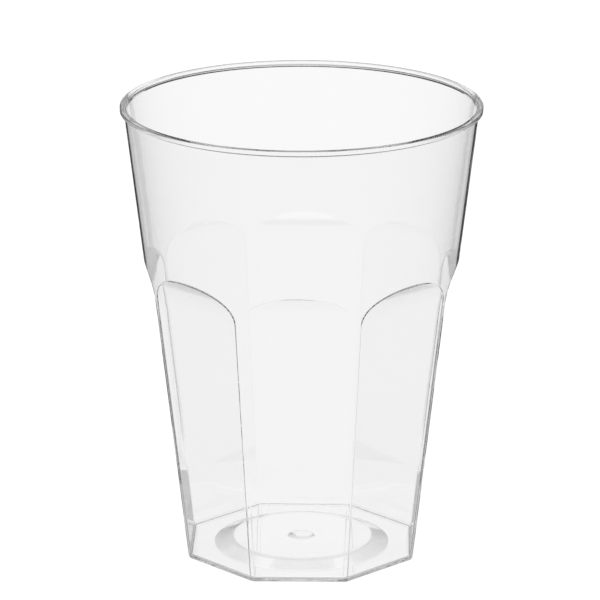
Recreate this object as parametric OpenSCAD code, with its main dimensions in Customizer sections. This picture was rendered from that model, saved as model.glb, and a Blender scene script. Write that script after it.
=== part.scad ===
// Clear disposable tumbler, moulded in one piece. The wall is one cone. Flat facets with arched tops are
// let into its lower half, the rim carries a small bead, and the middle of the base is pushed up.

/* [Cup] */
// Height from the foot to the top of the rim
cup_h = 110.4; // [100:0.1:125]
// Outside diameter of the wall at the top of the cup, without the rim bead
mouth_d = 84.4; // [80:0.1:90]
// Outside diameter of the same cone at the foot, over the corners between the facets
foot_d = 58; // [57:0.1:62]
// Thickness of the wall, square to its surface
wall_t = 0.65; // [0.5:0.05:1.6]

/* [Rim bead] */
// How far the bead stands out from the wall
bead_out = 0.8; // [0.4:0.05:1.5]
// Height of the bead's outer face
bead_h = 1; // [0.8:0.05:2]
// How far the bead's underside slopes down on its way in to the wall
bead_drop = 0.45; // [0:0.05:1]
// Rounding of the bead's outer corners
bead_round = 0.2; // [0.1:0.05:0.35]

/* [Facets] */
// Number of facets around the cup
facet_count = 8; // [6:1:12]
// Depth of a facet's middle below the cone, at the foot
foot_depth = 2; // [1:0.05:2.05]
// Depth of a facet's middle below the cone, where its shoulder begins
shoulder_depth = 2.55; // [1.5:0.05:2.65]
// Height at which the facets' shoulders begin
shoulder_z = 65.9; // [50:0.1:75]
// Height of a shoulder, from there to the top of its arch
shoulder_h = 7.6; // [5:0.1:12]
// Rounding between the facets and the foot, outside
foot_round = 0.3; // [0.2:0.05:1]
// Rounding between the facets and the base, inside
inner_round = 0.8; // [0.3:0.05:1.5]

/* [Base] */
// Thickness of the base
base_t = 0.7; // [0.5:0.05:2]
// Diameter of the pushed-up middle at the foot, underneath
push_d = 41.6; // [36:0.1:44]
// Diameter of the flat top of the pushed-up middle, underneath
push_top_d = 33; // [24:0.1:34]
// Height of the pushed-up middle
push_h = 1.5; // [1:0.1:4]
// Diameter of the shallow dimple in the centre, underneath
gate_d = 6.6; // [4:0.1:10]
// Depth of that dimple
gate_depth = 0.45; // [0.2:0.05:0.6]

/* [Hidden] */
$fn = 128;

// Room that a cutting shape runs past what it cuts
past = 1;
// Flats that stand for the rounding at the foot of a facet, and for each corner of the bead
toe_steps = 4;
bead_steps = 3;

// Turn that keeps the start of a round shape off the arches' tops and off the corners between the facets
start_turn = 90 / facet_count;

// The outer cone
cone_slope = (mouth_d - foot_d) / 2 / cup_h;
function cone_r(z) = foot_d / 2 + cone_slope * z;
// What a wall measured square to the cone takes off its radius
function cone_inset(t) = t * sqrt(1 + cone_slope * cone_slope);

// The line of a facet, as distance from the axis over height
foot_x = cone_r(0) - foot_depth;
shoulder_x = cone_r(shoulder_z) - shoulder_depth;
facet_lean = atan((shoulder_x - foot_x) / shoulder_z);
function facet_x(z, inset) = foot_x + z * tan(facet_lean) - inset / cos(facet_lean);

// The shoulder is a round cove that leaves the facet almost without a break and meets the cone at the arch's
// top. It reaches cove_bite below the facet, so that the two cross and don't only touch.
cove_bite = 0.02;
arch_z = shoulder_z + shoulder_h;
outward = [cos(facet_lean), -sin(facet_lean)];
cove_low = [shoulder_x, shoulder_z] - cove_bite * outward;
to_arch = [cone_r(arch_z), arch_z] - cove_low;
cove_r = (to_arch * to_arch) / (2 * (to_arch * outward));
cove_centre = cove_low + cove_r * outward;

// The slope of the pushed-up middle, and what the base's thickness adds to its radius on the upper side
push_angle = atan(push_h / ((push_d - push_top_d) / 2));
push_grow = base_t * tan(push_angle / 2);

// Section of what one facet takes off a body whose surface lies inset inside the outer one and ends at floor_z.
// Its lower corner is rounded in toe_steps short flats.
module facet_section(inset, floor_z, corner) {
    far = mouth_d;
    toe = [facet_x(floor_z + corner, inset) - corner / cos(facet_lean), floor_z + corner];
    polygon([
        [toe[0], floor_z - past],
        for (i = [0 : toe_steps])
            let (a = -90 + (90 - facet_lean) * i / toe_steps)
                toe + corner * [cos(a), sin(a)],
        [shoulder_x, shoulder_z] - inset * outward,
        cove_centre,
        [far, cove_centre[1]],
        [far, floor_z - past]
    ]);
    translate(cove_centre) circle(r = cove_r + inset);
}

// Everything that the facets take off a body whose surface lies inset inside the outer one
module facet_cuts(inset, floor_z, corner) {
    for (k = [0 : facet_count - 1])
        rotate([0, 0, k * 360 / facet_count - 90])
            rotate([90, 0, 0])
                linear_extrude(height = mouth_d, center = true)
                    facet_section(inset, floor_z, corner);
}

// The outer body, filled: one turned section of the cone and its rim bead, with the facets let in
module outer_body() {
    bead_z = cup_h - bead_h;
    bead_r = mouth_d / 2 + bead_out;
    under_z = bead_z - bead_drop;
    under_slope = atan(bead_drop / (bead_r - cone_r(under_z)));
    low_centre = [bead_r - bead_round, bead_z + bead_round * tan(45 - under_slope / 2)];
    difference() {
        rotate([0, 0, start_turn])
            rotate_extrude()
                polygon([
                    [0, 0],
                    [cone_r(0), 0],
                    [cone_r(under_z), under_z],
                    for (i = [0 : bead_steps])
                        let (a = (under_slope - 90) * (1 - i / bead_steps))
                            low_centre + bead_round * [cos(a), sin(a)],
                    for (i = [0 : bead_steps])
                        let (a = 90 * i / bead_steps)
                            [bead_r - bead_round, cup_h - bead_round] + bead_round * [cos(a), sin(a)],
                    [0, cup_h]
                ]);
        facet_cuts(0, 0, foot_round);
    }
}

// The space inside: the same cone and facets, moved in by the wall, with the pushed-up middle left standing
module inner_space() {
    top_z = cup_h + past;
    difference() {
        translate([0, 0, base_t])
            rotate([0, 0, start_turn])
                cylinder(
                    h = top_z - base_t,
                    r1 = cone_r(base_t) - cone_inset(wall_t),
                    r2 = cone_r(top_z) - cone_inset(wall_t)
                );
        facet_cuts(wall_t, base_t, inner_round);
        push_up(push_grow, base_t);
        gate_ball(base_t);
    }
}

// The pushed-up middle of the base: its underside, or its upper side once it has grown by the base's thickness
module push_up(grow, rise) {
    slope = (push_top_d - push_d) / 2 / push_h;
    translate([0, 0, rise - past])
        cylinder(
            h = push_h + past,
            r1 = push_d / 2 + grow - past * slope,
            r2 = push_top_d / 2 + grow
        );
}

// The ball whose cap is the shallow dimple left where the plastic entered the mould. Grown by the base's
// thickness, its cap is the low dome over that dimple, which keeps the base as thick there as around it.
module gate_ball(grow) {
    ball_r = (gate_d * gate_d / 4 + gate_depth * gate_depth) / (2 * gate_depth);
    translate([0, 0, push_h + gate_depth - ball_r]) sphere(r = ball_r + grow);
}

// The whole cup
module tumbler_cup() {
    color([0.92, 0.94, 0.94, 0.4])
        difference() {
            outer_body();
            inner_space();
            push_up(0, 0);
            gate_ball(0);
        }
}

tumbler_cup();
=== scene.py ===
import bpy
import numpy as np
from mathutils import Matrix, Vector


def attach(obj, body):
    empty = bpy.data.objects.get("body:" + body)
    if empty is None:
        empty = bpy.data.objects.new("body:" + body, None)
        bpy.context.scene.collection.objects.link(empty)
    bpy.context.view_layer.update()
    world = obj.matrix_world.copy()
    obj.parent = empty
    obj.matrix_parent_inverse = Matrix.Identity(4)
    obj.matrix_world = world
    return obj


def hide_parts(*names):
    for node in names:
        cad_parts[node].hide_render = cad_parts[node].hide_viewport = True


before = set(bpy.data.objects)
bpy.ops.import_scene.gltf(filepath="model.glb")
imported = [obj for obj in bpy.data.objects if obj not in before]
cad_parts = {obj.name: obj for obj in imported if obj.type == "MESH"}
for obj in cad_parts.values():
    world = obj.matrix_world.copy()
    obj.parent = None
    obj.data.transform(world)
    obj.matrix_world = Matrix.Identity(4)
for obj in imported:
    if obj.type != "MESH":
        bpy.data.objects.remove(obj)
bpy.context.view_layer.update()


# The wall of the cup: clear polystyrene, injection moulded in one shot. It is a single cone, and the mould
# lets eight flat facets with arched tops into its lower half. All lengths are in millimetres, as on a
# drawing, where nothing else is said.
MM = 0.001
cup_height = 110.4
cone_foot_radius = 29.0
cone_mouth_radius = 42.2
wall = 0.65
facets = 8
facet_foot = 27.0
facet_shoulder = 34.33
shoulder_height = 65.9
arch_height = 73.5
rim_start = 108.0
base_thickness = 0.7
foot_rounding = 0.3
inner_rounding = 0.8

# The arches' edges are rounded over these lengths at their tops, and become sharp towards the corners.
arch_blend_outside = 0.15
arch_blend_inside = 0.3
edge_blend = 0.01
arch_round_end = np.radians(10)
arch_sharp_start = np.radians(16)

facet_step = 2 * np.pi / facets
half_facet = facet_step / 2
cone_slope = (cone_mouth_radius - cone_foot_radius) / cup_height
facet_slope = (facet_shoulder - facet_foot) / shoulder_height
facet_lean = np.arctan(facet_slope)


def cone_radius(z, inset=0.0):
    """Radius of the cone at height z, moved in by inset square to its surface."""
    return cone_foot_radius + cone_slope * z - inset * np.hypot(1, cone_slope)


# The shoulder of a facet is a round cove. It leaves the facet smoothly and meets the cone at the arch's top.
cove_start = np.array([facet_shoulder, shoulder_height])
cove_rise = np.array([cone_radius(arch_height), arch_height]) - cove_start
facet_normal = np.array([np.cos(facet_lean), -np.sin(facet_lean)])
cove_radius = cove_rise @ cove_rise / (2 * cove_rise @ facet_normal)
cove_centre = cove_start + cove_radius * facet_normal


def facet_distance(z, inset=0.0):
    """Distance of a facet from the axis at height z, moved in by inset: a straight line, and above the
    shoulder the cove's arc, centre_x - sqrt(radius^2 - (z - centre_z)^2)."""
    radius = cove_radius + inset
    line = facet_foot + facet_slope * z - inset / np.cos(facet_lean)
    rise = np.clip(z - cove_centre[1], 0, radius)
    arc = cove_centre[0] - np.sqrt(radius ** 2 - rise ** 2)
    return np.where(z < shoulder_height + inset * np.sin(facet_lean), line, arc)


def soft_min(a, b, blend):
    """The smaller of a and b, rounded off by a parabola where they are less than blend apart."""
    near = np.clip(blend - np.abs(a - b), 0, None) / blend
    return np.minimum(a, b) - near ** 2 * blend / 4


def wall_radius(away, z, inset, blend):
    """Radius of the wall at the angle away from a facet's middle and at height z: the smallest of the facet,
    distance / cos(away), its neighbour, distance / cos(step - away), and the cone."""
    flat = facet_distance(z, inset)
    faces = soft_min(flat / np.cos(away), flat / np.cos(facet_step - away), blend)
    return soft_min(faces, cone_radius(z, inset), blend)


def arch_line(away, inset=0.0):
    """Height at which the cove crosses the cone at the angle away from a facet's middle, found by reading
    cos(away) = cove distance / cone radius backwards over the height of the shoulder."""
    z = np.linspace(shoulder_height - 1, arch_height + 2, 800)
    ratio = facet_distance(z, inset) / cone_radius(z, inset)
    return np.interp(np.cos(away), ratio, z)


# Angles around one facet, from the middle of one corner to the next. A narrow strip of the cone is left
# between two facets, and the angles crowd at its edges, where the wall turns sharply. They are even over the
# first part of the way.
even_share = 0.8
strip_edge = np.arccos(facet_foot / cone_foot_radius)
approach = even_share * half_facet
towards_corner = np.concatenate([
    np.linspace(0, approach, 10)[:-1],
    strip_edge - (strip_edge - approach) * np.linspace(1, 0, 10) ** 2,
    strip_edge + (half_facet - strip_edge) * np.linspace(0, 1, 6)[1:] ** 2,
])
one_facet = np.concatenate([-towards_corner[:0:-1], towards_corner[:-1]])
middles = np.arange(facets) * facet_step - np.pi / 2
around = (middles[:, None] + one_facet[None, :]).ravel()
away = np.tile(np.abs(one_facet), facets)

# Heights of two bands of close rows: over the cove, and on either side of the arch's edge.
cove_band = 8.5
edge_band = 1.6


def wall_rows(inset, arch_blend, floor, rounding):
    """Rows of (radius, height) up one side of the wall. The corner at the floor is a quarter circle,
    r = wall - R (1 - sin t), z = floor + R (1 - cos t). Above it the rows follow the arches, and straighten
    again on their way up to the rim. The arch's edge is rounded over arch_blend at its top, and is sharp
    towards the corners."""
    blend = np.interp(away, [arch_round_end, arch_sharp_start], [arch_blend, edge_blend])
    arch = arch_line(away, inset)
    turn = np.linspace(0, np.pi / 2, 7)[:, None]
    toe_z = floor + rounding * (1 - np.cos(turn)) + 0 * away
    toe_cut = rounding * (1 - np.sin(turn)) + 0 * away
    toe_top = floor + rounding
    cove_low = arch - edge_band - cove_band
    facet_z = toe_top + (cove_low - toe_top) * np.linspace(0, 1, 9)[1:, None]
    cove_z = cove_low + cove_band * np.linspace(0, 1, 20)[1:, None]
    crowded = np.linspace(-1, 1, 27)[1:, None]
    edge_z = arch + edge_band * crowded * np.abs(crowded)
    edge_top = arch + edge_band
    upper_z = edge_top + (rim_start - edge_top) * np.linspace(0, 1, 9)[1:, None]
    z = np.concatenate([toe_z, facet_z, cove_z, edge_z, upper_z])
    cut = np.concatenate([toe_cut, np.zeros((len(z) - len(toe_cut), len(away)))])
    return wall_radius(away, z, inset, blend) - cut, z


# The rim: a small bead moulded around the mouth, flat on top, with its edges rounded. Its underside slopes
# down to the wall.
bead_out = 0.8
bead_height = 1.0
bead_drop = 0.45
under_rounding = 0.1
bead_rounding = 0.2
lip_rounding = 0.15


def rounded(points, radii, steps=6):
    """A line through points in (radius, height), with an arc of its own radius in place of each inner corner.
    The arc's centre lies on the line that halves the corner, radius / sin(half angle) away from it."""
    points = np.array(points, float)
    line = [points[:1]]
    for before, corner, after, radius in zip(points, points[1:], points[2:], radii):
        a = (before - corner) / np.linalg.norm(before - corner)
        b = (after - corner) / np.linalg.norm(after - corner)
        half = np.arccos(np.clip(a @ b, -1, 1)) / 2
        middle = (a + b) / np.linalg.norm(a + b)
        centre = corner + middle * radius / np.sin(half)
        sweep = np.linspace(-1, 1, steps + 1)[:, None] * (np.pi / 2 - half)
        side = np.array([-middle[1], middle[0]]) * np.sign(middle[0] * b[1] - middle[1] * b[0])
        line.append(centre - radius * (np.cos(sweep) * middle - np.sin(sweep) * side))
    line.append(points[-1:])
    return np.concatenate(line)


def rim_rows():
    """Rows of (radius, height) over the rim, from the wall outside to the wall inside."""
    bead_low = cup_height - bead_height
    bead_radius = cone_mouth_radius + bead_out
    line = rounded(
        [
            (cone_radius(rim_start), rim_start),
            (cone_radius(bead_low - bead_drop), bead_low - bead_drop),
            (bead_radius, bead_low),
            (bead_radius, cup_height),
            (cone_radius(cup_height, wall), cup_height),
            (cone_radius(rim_start, wall), rim_start),
        ],
        [under_rounding, bead_rounding, bead_rounding, lip_rounding],
    )[1:-1]
    return line[:, :1] + 0 * away, line[:, 1:] + 0 * away


# The base: a flat octagonal ring that the cup stands on, and inside it a round push-up with a shallow dimple
# where the plastic was let into the mould. It is as thick everywhere, so the upper side repeats both.
push_radius = 20.8
push_top_radius = 16.5
push_height = 1.5
gate_radius = 3.3
gate_depth = 0.45
gate_ball = (gate_radius ** 2 + gate_depth ** 2) / (2 * gate_depth)
push_foot_rounding = 0.1
push_top_rounding = 6.0
cap_margin = 1.0


def base_rows(rise, grow, foot_radius):
    """Rows of (radius, height) from the axis to the wall: the gate's ball cap,
    z = top + depth - B + sqrt(B^2 - r^2), a round profile with rounded corners, and then a flat ring,
    r = (1 - t) circle + t foot_radius."""
    top = push_height + rise
    ball = gate_ball + rise
    edge = np.sqrt(gate_depth * (2 * ball - gate_depth))
    cap_r = np.linspace(0, edge, 9)
    cap_z = top + gate_depth - ball + np.sqrt(ball ** 2 - cap_r ** 2)
    steep = np.hypot(push_radius - push_top_radius, push_height)
    profile = rounded(
        [
            (edge + cap_margin, top),
            (push_top_radius + grow, top),
            (push_radius + grow, rise),
            (push_radius + grow + steep, rise),
        ],
        [push_top_rounding, push_foot_rounding],
        steps=8,
    )[:-1]
    line = np.concatenate([np.stack([cap_r, cap_z], axis=1), profile])
    circle = line[-1, 0]
    t = np.linspace(0, 1, 7)[1:-1, None]
    ring = circle + (foot_radius - circle) * t
    radius = np.concatenate([line[:, :1] + 0 * away, ring])
    height = np.concatenate([line[:, 1:] + 0 * away, rise + 0 * ring])
    return radius, height


def closed_mesh(name, radius, height):
    """A closed mesh of rows of points around the axis, x = r cos(angle), y = r sin(angle). The first and the
    last row are single points on the axis."""
    x = radius * np.cos(around)
    y = radius * np.sin(around)
    rings = np.stack([x, y, height], axis=-1)[1:-1] * MM
    rows, count = rings.shape[:2]
    poles = np.array([[0, 0, height[0, 0]], [0, 0, height[-1, 0]]]) * MM
    vertices = np.concatenate([rings.reshape(-1, 3), poles])
    index = np.arange(rows * count).reshape(rows, count)
    after = np.roll(index, -1, axis=1)
    quads = np.stack([index[:-1], after[:-1], after[1:], index[1:]], axis=-1).reshape(-1, 4)
    first = np.stack([np.full(count, rows * count), after[0], index[0]], axis=-1)
    last = np.stack([index[-1], after[-1], np.full(count, rows * count + 1)], axis=-1)
    mesh = bpy.data.meshes.new(name)
    mesh.from_pydata(vertices.tolist(), [], quads.tolist() + first.tolist() + last.tolist())
    mesh.shade_smooth()
    return mesh


# The rows go from the axis out under the base, up the outside, over the rim, down the inside, and over the
# base back to the axis.
outside = wall_rows(0.0, arch_blend_outside, 0.0, foot_rounding)
inside = wall_rows(wall, arch_blend_inside, base_thickness, inner_rounding)
push_grow = base_thickness * np.tan(np.arctan2(push_height, push_radius - push_top_radius) / 2)
underside = base_rows(0.0, 0.0, outside[0][0])
upper_side = base_rows(base_thickness, push_grow, inside[0][0])
way_up = [underside, outside, rim_rows()]
way_down = [inside, upper_side]
cup_radius = np.concatenate([radius for radius, z in way_up] + [radius[::-1] for radius, z in way_down])
cup_z = np.concatenate([z for radius, z in way_up] + [z[::-1] for radius, z in way_down])

cup = bpy.data.objects.new("tumbler", closed_mesh("tumbler", cup_radius, cup_z))
bpy.context.scene.collection.objects.link(cup)


class Value:
    """A shader socket that can be used in sums: each operator adds its Math node."""

    def __init__(self, tree, socket):
        self.tree = tree
        self.socket = socket

    def math(self, operation, *others):
        return node(self.tree, "ShaderNodeMath", {"operation": operation}, [self, *others])

    def __add__(self, other):
        return self.math("ADD", other)

    def __mul__(self, other):
        return self.math("MULTIPLY", other)

    def __sub__(self, other):
        return self.math("SUBTRACT", other)

    def __rsub__(self, other):
        return node(self.tree, "ShaderNodeMath", {"operation": "SUBTRACT"}, [other, self])

    def __lt__(self, other):
        return self.math("LESS_THAN", other)

    __radd__ = __add__
    __rmul__ = __mul__


def node(tree, kind, settings=None, inputs=(), output=0):
    """Adds a node of that kind, with its settings first and then the values or links of its sockets. inputs
    is a list in the sockets' order, or a dict by their names. A ramp's stops are a list of (place, grey
    level). Returns the output as a Value."""
    made = tree.nodes.new(kind)
    for name, value in (settings or {}).items():
        if name == "stops":
            elements = made.color_ramp.elements
            while len(elements) < len(value):
                elements.new(1.0)
            for element, (place, level) in zip(elements, value):
                element.position = place
                element.color = (level, level, level, 1)
        else:
            setattr(made, name, value)
    pairs = inputs.items() if isinstance(inputs, dict) else enumerate(inputs)
    for key, value in pairs:
        if isinstance(value, Value):
            tree.links.new(value.socket, made.inputs[key])
        else:
            made.inputs[key].default_value = value
    return Value(tree, made.outputs[output]) if made.outputs else None


def new_material(name):
    """A material with an empty node tree."""
    material = bpy.data.materials.new(name)
    material.use_nodes = True
    material.node_tree.nodes.clear()
    return material, material.node_tree


# The plastic: polished clear polystyrene, with the faintest ripple. Light goes straight through it and bends
# at its edges. Lamps reach the floor through it, so that its shadow stays as pale as a clear cup's.
clear, tree = new_material("clear_plastic")
place = node(tree, "ShaderNodeTexCoord", output="Object")
flow = node(tree, "ShaderNodeTexNoise", {}, {"Vector": place, "Scale": 45.0, "Detail": 2.0})
ripple = node(tree, "ShaderNodeBump", {}, {"Strength": 0.02, "Distance": 0.001, "Height": flow})
plastic = node(tree, "ShaderNodeBsdfPrincipled", {}, {
    "Base Color": (0.988, 0.988, 0.988, 1),
    "Roughness": 0.0,
    "IOR": 1.59,
    "Transmission Weight": 1.0,
    "Normal": ripple,
})
shadow_ray = node(tree, "ShaderNodeLightPath", output="Is Shadow Ray")
lamp_share = node(tree, "ShaderNodeBsdfTransparent", {}, {"Color": (0.95, 0.95, 0.95, 1)})
shown = node(tree, "ShaderNodeMixShader", {}, [shadow_ray, plastic, lamp_share])
node(tree, "ShaderNodeOutputMaterial", {}, {"Surface": shown})
cup.data.materials.append(clear)

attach(cup, "root")
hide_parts("tumbler_cup")


# The floor: a pale table top that runs out of view. Seen directly, or straight through the cup, it is white.
# What only reaches it by a reflection sees a painted reflection of a dimmer studio table on it: painted light
# and shade that glows at set levels.
floor_size = 6000.0
floor_gap = 0.05
corners = np.array([[-1, -1], [1, -1], [1, 1], [-1, 1]]) * floor_size / 2 * MM
floor_mesh = bpy.data.meshes.new("floor")
floor_mesh.from_pydata([(x, y, -floor_gap * MM) for x, y in corners], [], [(0, 1, 2, 3)])
floor = bpy.data.objects.new("floor", floor_mesh)
bpy.context.scene.collection.objects.link(floor)

# The studio, in degrees from straight behind the cup. On the floor it is painted as a reflection: the painted
# dark side cards reach further round near the cup than they do beyond near_reach.
backdrop_edge = 6.5
card_start = 8.0
card_end_near = 60.0
card_end_far = 20.0
card_fade = 1.5
card_level = 0.03


def axes(vector):
    """The three parts of a vector, as Values."""
    split = node(vector.tree, "ShaderNodeSeparateXYZ", {}, [vector]).socket.node
    return [Value(vector.tree, part) for part in split.outputs]


def studio_level(side, depth, card_end):
    """Brightness of the studio in the direction whose parts to the side and to the back are given. There is
    a white backdrop behind the cup, a dark card on either side of it that ends at card_end, and a plain grey
    room beyond. The levels go by the angle from straight behind, arctan(side / depth)."""
    half_turn = side.math("ARCTAN2", depth) * (1 / np.pi)
    levels = [
        (0.0, 1.0),
        (backdrop_edge, 1.0),
        (card_start, card_level),
        (card_end, 0.05),
        (card_end + card_fade, 0.46),
        (100.0, 0.55),
        (180.0, 0.6),
    ]
    stops = [(degrees / 180, level) for degrees, level in levels]
    return node(side.tree, "ShaderNodeValToRGB", {"stops": stops}, [half_turn])


# The white backdrop is painted on the floor as a strip as wide as the cup, which opens towards the back. With
# the painted dark side cards and grey room it is a painted reflection, seen only by rays that reach the floor
# through a reflection.
strip_half = 40.0
near_reach = 170.0
table, tree = new_material("floor")
spot = node(tree, "ShaderNodeTexCoord", output="Object")
spot_x, spot_y, _ = axes(spot)
beside = (spot_x.math("ABSOLUTE") - strip_half * MM).math("MAXIMUM", 0.0)
reach = node(tree, "ShaderNodeVectorMath", {"operation": "LENGTH"}, [spot], output="Value")
near = reach < near_reach * MM
level_near = studio_level(beside, spot_y, card_end_near)
level_far = studio_level(beside, spot_y, card_end_far)
level = near * level_near + (1.0 - near) * level_far

# A ring of the floor around the foot is painted a plain grey for reflections, so that the side facets stay
# even at their lower ends.
foot_reach = 30.0
ring_reach = 60.0
painted_ring_level = 0.5
ring = (reach < ring_reach * MM) - (reach < foot_reach * MM)
level = level + ring * (painted_ring_level - level)

# To the camera the floor is mostly plain white. The rest of it takes the light and the cup's shadow.
white_share = 0.8
camera_ray = node(tree, "ShaderNodeLightPath", output="Is Camera Ray")
through_ray = node(tree, "ShaderNodeLightPath", output="Is Transmission Ray")
reflections = node(tree, "ShaderNodeLightPath", output="Glossy Depth")
straight = through_ray * (reflections < 0.5)
lit = node(tree, "ShaderNodeBsdfDiffuse", {}, {"Color": (0.8, 0.8, 0.8, 1)})
white = node(tree, "ShaderNodeEmission", {}, {"Color": (1, 1, 1, 1), "Strength": 1.0})
# Painted reflection: the floor glows at these painted studio levels for rays that reach it through a
# reflection.
painted_floor_reflection = node(tree, "ShaderNodeEmission", {}, {"Color": (1, 1, 1, 1), "Strength": level})
seen = node(tree, "ShaderNodeMixShader", {}, [white_share, lit, white])
reflected = node(tree, "ShaderNodeMixShader", {}, [straight, painted_floor_reflection, white])
surface = node(tree, "ShaderNodeMixShader", {}, [camera_ray, reflected, seen])
node(tree, "ShaderNodeOutputMaterial", {}, {"Surface": surface})
floor.data.materials.append(table)


# The card: a dark card that hangs close behind the cup, from the height of its rim upwards. It is seen only
# in the plastic, as a painted dark reflection, and it paints the dark lines of the rim as painted shade.
card_behind = 100.0
card_low = 108.0
card_top = 270.0
card_half = 40.0
card_corners = np.array([
    (-card_half, card_behind, card_low),
    (card_half, card_behind, card_low),
    (card_half, card_behind, card_top),
    (-card_half, card_behind, card_top),
])
card_mesh = bpy.data.meshes.new("dark_card")
card_mesh.from_pydata((card_corners * MM).tolist(), [], [(0, 1, 2, 3)])
dark_card = bpy.data.objects.new("dark_card", card_mesh)
bpy.context.scene.collection.objects.link(dark_card)

painted_reflection_card, tree = new_material("dark_card")
camera_ray = node(tree, "ShaderNodeLightPath", output="Is Camera Ray")
shadow_ray = node(tree, "ShaderNodeLightPath", output="Is Shadow Ray")
unseen = camera_ray.math("MAXIMUM", shadow_ray)
# Painted dark reflection: a faint glow at card_level, seen only by rays through the plastic.
dark = node(tree, "ShaderNodeEmission", {}, {"Color": (1, 1, 1, 1), "Strength": card_level})
nothing = node(tree, "ShaderNodeBsdfTransparent", {}, {"Color": (1, 1, 1, 1)})
surface = node(tree, "ShaderNodeMixShader", {}, [unseen, dark, nothing])
node(tree, "ShaderNodeOutputMaterial", {}, {"Surface": surface})
dark_card.data.materials.append(painted_reflection_card)


# The light: a large soft box overhead and a smaller one on either side. They light the floor and draw the
# cup's shadow, and aren't seen in the plastic, which sees the studio.
def soft_box(name, place, size, power):
    """A square area lamp that faces the cup's middle. Place and size are in metres, and power in watts."""
    lamp = bpy.data.lights.new(name, "AREA")
    lamp.size = size
    lamp.energy = power
    holder = bpy.data.objects.new(name, lamp)
    holder.location = place
    aim = Vector((0, 0, cup_height / 2 * MM)) - Vector(place)
    holder.rotation_euler = aim.to_track_quat("-Z", "Y").to_euler()
    holder.visible_glossy = False
    holder.visible_transmission = False
    bpy.context.scene.collection.objects.link(holder)


soft_box("overhead", (0.0, 0.1, 1.1), 0.7, 12.0)
soft_box("left", (-1.0, -0.5, 0.6), 0.5, 5.0)
soft_box("right", (1.0, -0.3, 0.7), 0.5, 6.0)

# The room: white to the camera. To the plastic it is the studio, whose walls are dark above the backdrop's
# top edge, with a bright ceiling over them.
world = bpy.data.worlds.new("room")
world.use_nodes = True
tree = world.node_tree
tree.nodes.clear()
way_x, way_y, way_z = axes(node(tree, "ShaderNodeTexCoord", output="Generated"))
backdrop_top = np.sin(np.radians(33))
backdrop_fade = np.sin(np.radians(37))
ceiling_start = np.sin(np.radians(44))
ceiling_full = np.sin(np.radians(51))
upward = [(0.0, 1.0), (backdrop_top, 1.0), (backdrop_fade, 0.1), (1.0, 0.1)]
ceiling = [(0.0, 0.0), (ceiling_start, 0.0), (ceiling_full, 1.0), (1.0, 1.0)]
around_cup = studio_level(way_x.math("ABSOLUTE"), way_y, card_end_far)
walls = around_cup * node(tree, "ShaderNodeValToRGB", {"stops": upward}, [way_z])
studio = walls.math("MAXIMUM", node(tree, "ShaderNodeValToRGB", {"stops": ceiling}, [way_z]))
camera_ray = node(tree, "ShaderNodeLightPath", output="Is Camera Ray")
level = studio.math("MAXIMUM", camera_ray)
room = node(tree, "ShaderNodeBackground", {}, {"Color": (1, 1, 1, 1), "Strength": level})
node(tree, "ShaderNodeOutputWorld", {}, {"Surface": room})
bpy.context.scene.world = world

# Light that is caught in the base is reflected many times before it gets out again.
bounce_limit = 96
scene = bpy.context.scene
scene.view_settings.view_transform = "Standard"
scene.cycles.max_bounces = bounce_limit
scene.cycles.transmission_bounces = bounce_limit
scene.cycles.glossy_bounces = bounce_limit
scene.cycles.transparent_max_bounces = 16


# The camera: a long lens a metre away that looks down at the cup a little. It stands a little to the right
# of the front facet's middle.
camera_distance = 992.1
camera_height = 370.0
camera_turn = np.radians(1.35)
camera_tilt = np.radians(17.251)
focal_pixels = 4332.4
frame_pixels = 600
centre_offset_pixels = 1.6

lens = bpy.data.cameras.new("camera")
lens.sensor_width = 36.0
lens.lens = lens.sensor_width * focal_pixels / frame_pixels
lens.shift_x = -centre_offset_pixels / frame_pixels
lens.clip_start = 0.05
camera = bpy.data.objects.new("camera", lens)
camera.location = (
    camera_distance * np.sin(camera_turn) * MM,
    -camera_distance * np.cos(camera_turn) * MM,
    camera_height * MM,
)
camera.rotation_euler = (np.pi / 2 - camera_tilt, 0, camera_turn)
scene.collection.objects.link(camera)
scene.camera = camera
